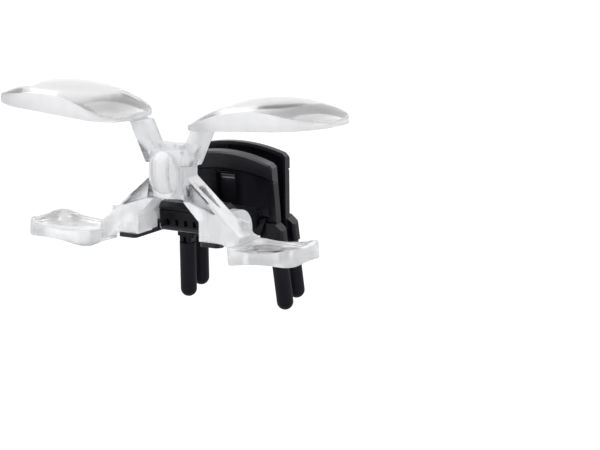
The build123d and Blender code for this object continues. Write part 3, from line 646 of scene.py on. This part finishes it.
# %% [markdown]
# ## The clear unit's own frame
# The unit hangs on its hinge a little tilted. Its lenses and the shield of its hub were laid out
# straight, so their sizes are easiest to say in millimetres in the unit's own frame, with the hinge as
# the origin. These matrices lead from that frame to the object's and back.

# %% Place of the flip-up unit
AXLE = Vector((0.0, -21.2, 19.5)) * MM
FLIP_TILT = math.radians(-7.0)
UNIT = Matrix.Translation(AXLE) @ Matrix.Rotation(FLIP_TILT, 4, "X")
UNIT_BACK = UNIT.inverted()
UNIT_FORWARD = UNIT.to_3x3() @ Vector((0.0, -1.0, 0.0))
print("unit hinge at", [round(value, 4) for value in AXLE])

# %% [markdown]
# ## Painted shade in the hollows of the clear mouldings
# In the pockets of a clear moulding light has been through more walls, so they look greyer than the
# outside. A renderer's ambient occlusion could show that, but it isn't kept when the model is exported.
# So a few rays are cast from every twelfth point of the mesh, and the share that soon meets a wall is
# stored with the points. The frosted finish darkens its colour towards a grey by that share: painted
# shade in the pockets. The arms on the side of negative X stand before the white background, and there
# the painted shade is held back.

# %% How shut in a point is
LOOK_REACH = 4.5 * MM
LOOK_START = 0.3 * MM
LOOK_TURNS = 5
LOOK_AHEAD = 0.75
LOOK_ASIDE = 0.66
LOOK_GAIN = 1.6
LOOK_EVERY = 12
LOOK_MEAN = 3
# Share of the painted pocket shade kept on the side of negative X.
LIGHT_SIDE_SHADE_SHARE = 0.4


def shut_in_share(spot, ahead, tree):
    """Share of the sky over a point that near walls of the same piece shut off."""
    side = ahead.orthogonal().normalized()
    over = ahead.cross(side)
    start = spot + ahead * LOOK_START
    met = 0.0
    for turn in range(LOOK_TURNS):
        angle = math.tau * turn / LOOK_TURNS
        way = (ahead * LOOK_AHEAD + side * math.cos(angle) * LOOK_ASIDE
               + over * math.sin(angle) * LOOK_ASIDE)
        distance = tree.ray_cast(start, way.normalized(), LOOK_REACH)[3]
        if distance is not None:
            met += 1.0 - distance / LOOK_REACH
    return min(1.0, LOOK_GAIN * met / LOOK_TURNS)


def paint_pocket_shade(mesh):
    """Painted shade: looks around from some points and gives every point the mean of the nearest of
    them.
    """
    tree = BVHTree.FromPolygons([vertex.co.copy() for vertex in mesh.vertices],
                                [tuple(polygon.vertices) for polygon in mesh.polygons])
    looked = range(0, len(mesh.vertices), LOOK_EVERY)
    near = KDTree(len(looked))
    seen = []
    for count, index in enumerate(looked):
        vertex = mesh.vertices[index]
        near.insert(vertex.co, count)
        # Painted shade is held back on the side of negative X.
        strength = LIGHT_SIDE_SHADE_SHARE if vertex.co.x < 0.0 else 1.0
        seen.append(strength * shut_in_share(vertex.co, vertex.normal, tree))
    near.balance()
    shares = []
    for vertex in mesh.vertices:
        found = near.find_n(vertex.co, LOOK_MEAN)
        shares.append(sum(seen[item[1]] for item in found) / LOOK_MEAN)
    record = mesh.attributes.new("painted_hollow_shade", "FLOAT", "POINT")
    record.data.foreach_set("value", shares)
    return shares


print("hollow marks ready")

# %% [markdown]
# ## The shield on the hub
# The middle of the hub is a domed oval shield, and the front of the block round it slopes away from it,
# so that the shield stands out. The construction model has the plain block and the dome. The slope could
# be a cut there too, but it is shallow carving, two millimetres at most, so the points of the block are
# pressed back here: by a small step right beside the oval and by more further out. They keep a share of
# their depth, so that no two faces fall on each other.

# %% Slope round the shield
SHIELD_WAIST = 16.2
SHIELD_HALF = 4.3
SHIELD_RISE = 6.2
SHIELD_DROP = 6.4
BLOCK_FRONT = -13.9
BLOCK_LOW = 9.4
BLOCK_HIGH = 24.6
BLOCK_DEPTH = 2.4
BLOCK_STEP = 0.7
BLOCK_SLOPE = 5.0
BLOCK_MOST = 2.2
BLOCK_FADE = 3.0
BLOCK_SHARE = 0.88


def ease_block(mesh):
    """Presses the front of the block back round the shield, further out by more."""
    moved = 0
    for vertex in mesh.vertices:
        spot = UNIT_BACK @ vertex.co / MM
        if spot.y > BLOCK_FRONT + BLOCK_DEPTH or not BLOCK_LOW < spot.z < BLOCK_HIGH:
            continue
        half_height = SHIELD_RISE if spot.z > SHIELD_WAIST else SHIELD_DROP
        outside = math.hypot(spot.x / SHIELD_HALF, (spot.z - SHIELD_WAIST) / half_height) - 1.0
        allowed = BLOCK_FRONT + BLOCK_STEP + BLOCK_SLOPE * outside
        if outside > 0.0 and spot.y < allowed:
            fade = BLOCK_SHARE * min(1.0, (BLOCK_HIGH - spot.z) / BLOCK_FADE)
            vertex.co -= UNIT_FORWARD * (min(BLOCK_MOST, allowed - spot.y) * fade * MM)
            moved += 1
    return moved


print("slope ready")

# %% [markdown]
# ### Ribs of the shield
# Two fine upright ribs with a groove between them run down each half of the shield and catch the light.
# Each is a place across, a width and a height, added up as soft bumps. The bumps are wider than two
# steps of the mesh, because narrower ones break up into dots.

# %% Upright ribs
SHIELD_FRONT = -15.8
SHIELD_LOW = 10.6
SHIELD_HIGH = 21.6
SHIELD_DEPTH = 2.6
RIBS = ((1.7, 0.32, 0.34), (2.35, 0.32, -0.3), (3.05, 0.32, 0.24))
RIB_FACING = 0.35
RIB_FADE_LOW = 1.4
RIB_FADE_HIGH = 1.8


def rib_shield(mesh):
    """Eases the block, then raises the ribs on the front of the shield."""
    moved = ease_block(mesh)
    facing = [vertex.normal.dot(UNIT_FORWARD) for vertex in mesh.vertices]
    for vertex in mesh.vertices:
        spot = UNIT_BACK @ vertex.co / MM
        if spot.y > SHIELD_FRONT + SHIELD_DEPTH or facing[vertex.index] < RIB_FACING:
            continue
        fade = min(1.0, max(0.0, (spot.z - SHIELD_LOW) / RIB_FADE_LOW),
                   max(0.0, (SHIELD_HIGH - spot.z) / RIB_FADE_HIGH))
        rise = sum(height * math.exp(-((abs(spot.x) - middle) / width) ** 2)
                   for middle, width, height in RIBS)
        vertex.co += UNIT_FORWARD * (rise * fade * MM)
        moved += 1
    return moved


print("ribs ready")

# %% [markdown]
# ## The two carriers
# The carriers come out of their mould with every edge and inside corner rounded. A copy of the
# construction solid is remeshed into a fine even grid and relaxed a little, which rounds outer edges and
# fills inner ones alike, as a mould does. A bevel would only do the outer edges, and it stumbles over
# the many short edges of the curved faces. The copy is drawn in by a hair, so that where the two
# mouldings meet, their skins don't share one place.

# %% Softened copies
MERGE = 0.0005 * MM
RELAX_SHARE = 0.5
SEAT_GAP = 0.04 * MM


def merged_copy(node):
    """The loose triangles of a construction node, joined at their corners."""
    work = bmesh.new()
    work.from_mesh(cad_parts[node].data)
    bmesh.ops.remove_doubles(work, verts=work.verts, dist=MERGE)
    return work


def softened(node, name, voxel, rounds, material, body, shape_more):
    """A remeshed, relaxed copy of a node that takes its place."""
    mesh = bpy.data.meshes.new(name)
    work = merged_copy(node)
    work.to_mesh(mesh)
    work.free()
    piece = put_in_scene(name, mesh)
    grid = piece.modifiers.new("grid", "REMESH")
    grid.mode = "VOXEL"
    grid.voxel_size = voxel * MM
    relax = piece.modifiers.new("relax", "SMOOTH")
    relax.factor = RELAX_SHARE
    relax.iterations = rounds
    shrink = piece.modifiers.new("shrink", "DISPLACE")
    shrink.mid_level = 0.0
    shrink.strength = -SEAT_GAP
    finished = keep_modifiers_result(piece)
    print("points shaped more:", shape_more(finished))
    for polygon in finished.polygons:
        polygon.use_smooth = True
    shares = paint_pocket_shade(finished)
    print("mean hollow share", round(sum(shares) / len(shares), 3))
    finished.materials.clear()
    finished.materials.append(material)
    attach(piece, body)
    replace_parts(piece, node)
    print(name, len(finished.polygons), "faces")


print("softener ready")

# %% Both carriers
softened("lower_carrier", "lower_carrier_moulding", voxel=0.17, rounds=5, material=clear_moulding,
         body="optics", shape_more=ease_block)
softened("upper_carrier", "upper_carrier_moulding", voxel=0.14, rounds=5, material=clear_moulding,
         body="optics", shape_more=rib_shield)

# %% [markdown]
# ## The lenses
# A lens is an outline with a rule: the top is a ball's surface cut by the outline. So the outline is
# laid out as flat rings, and a small Geometry Nodes tree lifts each point by the ball's rule, once from
# above and once from below. The polished faces then have an even mesh, which refraction needs: it would
# show every facet of a coarse one.

# %% The rule of a lens face


def lens_rule():
    """Geometry Nodes tree: lifts points by the sag of two balls."""
    tree = bpy.data.node_groups.new("lens_rule", "GeometryNodeTree")
    tree.interface.new_socket("Geometry", in_out="INPUT", socket_type="NodeSocketGeometry")
    for name in ("Thickness", "Upper Curve", "Lower Curve"):
        tree.interface.new_socket(name, in_out="INPUT", socket_type="NodeSocketFloat")
    for name in ("Face Finish", "Wall Finish"):
        tree.interface.new_socket(name, in_out="INPUT", socket_type="NodeSocketMaterial")
    tree.interface.new_socket("Geometry", in_out="OUTPUT", socket_type="NodeSocketGeometry")
    into = tree.nodes.new("NodeGroupInput")
    out_of = tree.nodes.new("NodeGroupOutput")
    spot = tree.nodes.new("GeometryNodeInputPosition")
    split = tree.nodes.new("ShaderNodeSeparateXYZ")
    tree.links.new(spot.outputs[0], split.inputs[0])
    square = math_node(tree, "ADD",
                       math_node(tree, "MULTIPLY", split.outputs["X"], split.outputs["X"]),
                       math_node(tree, "MULTIPLY", split.outputs["Y"], split.outputs["Y"]))
    share = tree.nodes.new("GeometryNodeInputNamedAttribute")
    share.data_type = "FLOAT"
    share.inputs["Name"].default_value = "height_share"

    def ball(curve):
        """Drop of a ball's surface below its top, signed as its curvature."""
        flat = math_node(tree, "MULTIPLY", square, math_node(tree, "MULTIPLY", curve, curve))
        root = math_node(tree, "SQRT", math_node(tree, "SUBTRACT", 1.0, flat, clamp=True), 0.0)
        half = math_node(tree, "MULTIPLY", curve, square)
        return math_node(tree, "DIVIDE", half, math_node(tree, "ADD", 1.0, root))

    upper = math_node(tree, "SUBTRACT", into.outputs["Thickness"], ball(into.outputs["Upper Curve"]))
    lower = ball(into.outputs["Lower Curve"])
    height = math_node(tree, "SUBTRACT", upper, lower)
    part_way = math_node(tree, "MULTIPLY", height, share.outputs["Attribute"])
    lifted = math_node(tree, "ADD", lower, part_way)
    offset = tree.nodes.new("ShaderNodeCombineXYZ")
    tree.links.new(lifted, offset.inputs["Z"])
    move = tree.nodes.new("GeometryNodeSetPosition")
    tree.links.new(into.outputs["Geometry"], move.inputs["Geometry"])
    tree.links.new(offset.outputs[0], move.inputs["Offset"])
    real = tree.nodes.new("GeometryNodeRealizeInstances")
    paint = tree.nodes.new("GeometryNodeSetMaterial")
    tree.links.new(move.outputs[0], real.inputs[0])
    tree.links.new(real.outputs[0], paint.inputs["Geometry"])
    tree.links.new(into.outputs["Face Finish"], paint.inputs["Material"])
    wall = tree.nodes.new("GeometryNodeInputNamedAttribute")
    wall.data_type = "BOOLEAN"
    wall.inputs["Name"].default_value = "is_wall"
    frost = tree.nodes.new("GeometryNodeSetMaterial")
    tree.links.new(paint.outputs[0], frost.inputs["Geometry"])
    tree.links.new(wall.outputs["Attribute"], frost.inputs["Selection"])
    tree.links.new(into.outputs["Wall Finish"], frost.inputs["Material"])
    tree.links.new(frost.outputs[0], out_of.inputs[0])
    return tree


LENS_RULE = lens_rule()
print("tree", LENS_RULE.name)

# %% [markdown]
# ### Outline and rings
# Seen from above a lens is a rectangle with round corners, and the large ones are rounder on the outside
# than towards the nose. The outline shrinks ring by ring towards its middle. Between the top and the
# bottom sheet stands the wall, whose first and last step lie a little inward: that eases its edge.

# %% Flat rings of a lens outline
OUTLINE_STEP = 0.8
WALL_STEPS = ((0.3, 0.012), (0.0, 0.05), (0.0, 0.5), (0.0, 0.95), (0.3, 0.988))


def outline_points(width, depth, inner_corner, outer_corner, steps):
    """Closed outline with its own corner radius at each end of X."""
    points = []
    corners = ((1, -1, outer_corner, -90), (1, 1, outer_corner, 0), (-1, 1, inner_corner, 90),
               (-1, -1, inner_corner, 180))
    for side_x, side_y, radius, start in corners:
        middle = Vector((side_x * (width / 2 - radius), side_y * (depth / 2 - radius)))
        for step in range(steps + 1):
            angle = math.radians(start + 90.0 * step / steps)
            points.append(middle + Vector((math.cos(angle), math.sin(angle))) * radius)
    dense = []
    for index, point in enumerate(points):
        after = points[(index + 1) % len(points)]
        pieces = max(1, round((after - point).length / OUTLINE_STEP))
        dense += [point.lerp(after, step / pieces) for step in range(pieces)]
    return dense


def ring_mesh(name, outline, rings, edge):
    """Top and bottom sheets of shrinking rings, joined by a wall with an eased edge."""
    centre = sum(outline, Vector((0.0, 0.0))) / len(outline)
    stack = [(step / rings * (1.0 - edge), 0.0) for step in range(1, rings + 1)]
    first_wall = len(stack) - 1
    stack += [(1.0 - edge * inward, share) for inward, share in WALL_STEPS]
    last_wall = len(stack) - 1
    stack += [(step / rings * (1.0 - edge), 1.0) for step in range(rings, 0, -1)]
    verts = [(centre.x, centre.y, 0.0)]
    shares = [0.0]
    for shrink, share in stack:
        for point in outline:
            spot = centre + (point - centre) * shrink
            verts.append((spot.x, spot.y, 0.0))
            shares.append(share)
    verts.append((centre.x, centre.y, 0.0))
    shares.append(1.0)
    count = len(outline)
    faces = []
    walls = []
    for index in range(count):
        after = (index + 1) % count
        faces.append((0, 1 + after, 1 + index))
        walls.append(False)
        for level in range(len(stack) - 1):
            low = 1 + level * count
            high = low + count
            faces.append((low + index, low + after, high + after, high + index))
            walls.append(first_wall <= level <= last_wall)
        last = 1 + (len(stack) - 1) * count
        faces.append((last + index, last + after, len(verts) - 1))
        walls.append(False)
    mesh = bpy.data.meshes.new(name)
    mesh.from_pydata([tuple(part * MM for part in vert) for vert in verts], [], faces)
    record = mesh.attributes.new("height_share", "FLOAT", "POINT")
    record.data.foreach_set("value", shares)
    marks = mesh.attributes.new("is_wall", "BOOLEAN", "FACE")
    marks.data.foreach_set("value", walls)
    return mesh


print("ring helper ready")

# %% [markdown]
# ### Places of the lenses
# Near work makes the eyes turn in, so each lens is tilted a few degrees towards the nose. The right
# side is the mirror image of the left, and the mirror turns a mesh inside out, so normals are worked
# out anew.

# %% Places of the lenses
TOE_IN = math.radians(-4.5)
OPTIC_Y = -10.8
MIRROR = Matrix.Diagonal((-1.0, 1.0, 1.0, 1.0))


def lens_place(half_spacing, base):
    """Matrix from a lens's own frame to the object's, on the wearer's left."""
    seat = Matrix.Translation(Vector((half_spacing, OPTIC_Y, base)) * MM)
    return UNIT @ seat @ Matrix.Rotation(TOE_IN, 4, "Y")


def set_input(tree, modifier, name, value):
    """Sets a modifier's input by its socket identifier."""
    for item in tree.interface.items_tree:
        if item.item_type == "SOCKET" and item.in_out == "INPUT" and item.name == name:
            modifier[item.identifier] = value


def make_lens(node, name, place, outline, rings, edge, thickness, upper_curve, lower_curve, wall_finish):
    """One lens: rings, the rule, and its place on the unit."""
    piece = put_in_scene(name, ring_mesh(name, outline, rings, edge))
    rule = piece.modifiers.new("rule", "NODES")
    rule.node_group = LENS_RULE
    set_input(LENS_RULE, rule, "Thickness", thickness * MM)
    set_input(LENS_RULE, rule, "Upper Curve", upper_curve / MM)
    set_input(LENS_RULE, rule, "Lower Curve", lower_curve / MM)
    set_input(LENS_RULE, rule, "Face Finish", lens_polish)
    set_input(LENS_RULE, rule, "Wall Finish", wall_finish)
    finished = keep_modifiers_result(piece)
    finished.transform(place)
    work = bmesh.new()
    work.from_mesh(finished)
    bmesh.ops.recalc_face_normals(work, faces=work.faces)
    work.to_mesh(finished)
    work.free()
    for polygon in finished.polygons:
        polygon.use_smooth = True
    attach(piece, "optics")
    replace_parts(piece, node)
    print(name, len(finished.polygons), "faces")


# %% [markdown]
# ### Large and small lenses
# The two large lenses are thick, domed above and flat below. The two small ones are thin and hollowed on
# both faces. A block cut with a ball would give such a shape too, but it leaves long thin faces at the
# rim. Here both kinds come from the same outline and rule, with sizes of their own.

# %% Large and small lenses
LARGE = {"half_spacing": 29.9, "base": 31.0, "width": 40.2, "depth": 24.5, "inner": 8.0, "outer": 11.5,
         "thickness": 6.8, "dome": 40.0, "corner_steps": 14, "rings": 26, "edge": 0.02}
SMALL = {"half_spacing": 30.6, "base": -3.3, "width": 20.0, "depth": 16.5, "corner": 3.6,
         "thickness": 2.45, "bowl": 34.0, "under": 57.0, "lift": 1.2, "corner_steps": 10, "rings": 20,
         "edge": 0.03}

large_outline = outline_points(LARGE["width"], LARGE["depth"], LARGE["inner"], LARGE["outer"],
                               LARGE["corner_steps"])
small_outline = outline_points(SMALL["width"], SMALL["depth"], SMALL["corner"], SMALL["corner"],
                               SMALL["corner_steps"])
for side, flip in (("left", Matrix.Identity(4)), ("right", MIRROR)):
    place = flip @ lens_place(LARGE["half_spacing"], LARGE["base"])
    make_lens("large_lens_" + side, "front_lens_" + side, place, large_outline, LARGE["rings"],
              LARGE["edge"], LARGE["thickness"], 1.0 / LARGE["dome"], 0.0, lens_wall)
    place = flip @ lens_place(SMALL["half_spacing"], SMALL["base"] + SMALL["lift"])
    make_lens("small_lens_" + side, "eye_lens_" + side, place, small_outline, SMALL["rings"],
              SMALL["edge"], SMALL["thickness"] - SMALL["lift"], -1.0 / SMALL["bowl"],
              -1.0 / SMALL["under"], small_wall)
print("lenses made")

# %% [markdown]
# ## The jaw spring
# One end of this torsion spring leans on each finger plate, and squeezing the plates winds it up. So
# the end behind is a piece of its own that swings with the rear plate about the same pin. A bent wire
# could be drawn anew for it, but the construction model has it already: both pieces are cut from that,
# where the coil runs out into the straight end, and they lap over a little.

# %% Spring in two pieces
PIN = Vector((0.0, -0.8, 16.5)) * MM
RUN_OUT = PIN + Vector((3.25, 1.497, -0.401)) * MM
RUN_OUT_WAY = Vector((0.123, 0.257, 0.959)).normalized()
END_LOW_X = 2.8 * MM
LAP = 0.35 * MM
TAKEN_WITH_END = 1.4 * MM
CUT_SLACK = 0.02 * MM
SHARP_ANGLE = math.radians(35.0)


def spring_piece(name, is_end, body):
    """The straight end of the spring, or all the rest of it."""
    work = merged_copy("jaw_spring")

    def ahead(vertex, start):
        outside = vertex.co.x > END_LOW_X and vertex.co.y > PIN.y
        return outside and (vertex.co - RUN_OUT).dot(RUN_OUT_WAY) > start

    start = -TAKEN_WITH_END if is_end else -CUT_SLACK
    drop = [face for face in work.faces if all(ahead(vertex, start) for vertex in face.verts) != is_end]
    bmesh.ops.delete(work, geom=drop, context="FACES")
    if is_end:
        bmesh.ops.bisect_plane(work, geom=work.verts[:] + work.edges[:] + work.faces[:],
                               clear_inner=True, plane_co=RUN_OUT - RUN_OUT_WAY * LAP,
                               plane_no=RUN_OUT_WAY)
    bmesh.ops.holes_fill(work, edges=[edge for edge in work.edges if edge.is_boundary])
    bmesh.ops.recalc_face_normals(work, faces=work.faces)
    for face in work.faces:
        face.smooth = True
    for edge in work.edges:
        edge.smooth = edge.calc_face_angle(0.0) < SHARP_ANGLE
    loose = sum(edge.is_boundary for edge in work.edges)
    mesh = bpy.data.meshes.new(name)
    work.to_mesh(mesh)
    work.free()
    mesh.materials.append(steel)
    piece = put_in_scene(name, mesh)
    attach(piece, body)
    print(name, len(mesh.polygons), "faces, open edges", loose)
    return piece


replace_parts(spring_piece("spring_coil", is_end=False, body="clip"), "jaw_spring")
spring_piece("spring_rear_end", is_end=True, body="rear_grip")

# %% [markdown]
# ## Pieces that stay as they were constructed
# The plates with their legs, the sleeves, bracket, cradles, pins, washers and screws have their real
# shapes in the construction model already, with their own small bevels. Remeshing them would only blur
# those, so they are kept and get their finishes.

# %% Dress the construction nodes
DRESS = {
    "front_jaw": front_plastic, "rear_jaw": black_plastic, "flip_bracket": black_plastic,
    "cradle_left": cradle_plastic, "cradle_right": cradle_plastic,
    "sleeve_front_left": rubber, "sleeve_front_right": rubber,
    "sleeve_rear_left": rubber, "sleeve_rear_right": rubber,
    "jaw_pin": steel, "flip_axle": steel,
    "bracket_screws": dark_steel, "cradle_screws": dark_steel,
    "friction_washer_left": washer_finish, "friction_washer_right": washer_finish,
}
for node, material in DRESS.items():
    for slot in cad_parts[node].material_slots:
        slot.material = material
print("dressed", len(DRESS))

# %% [markdown]
# ## End

# %% Finish
print("scene built")
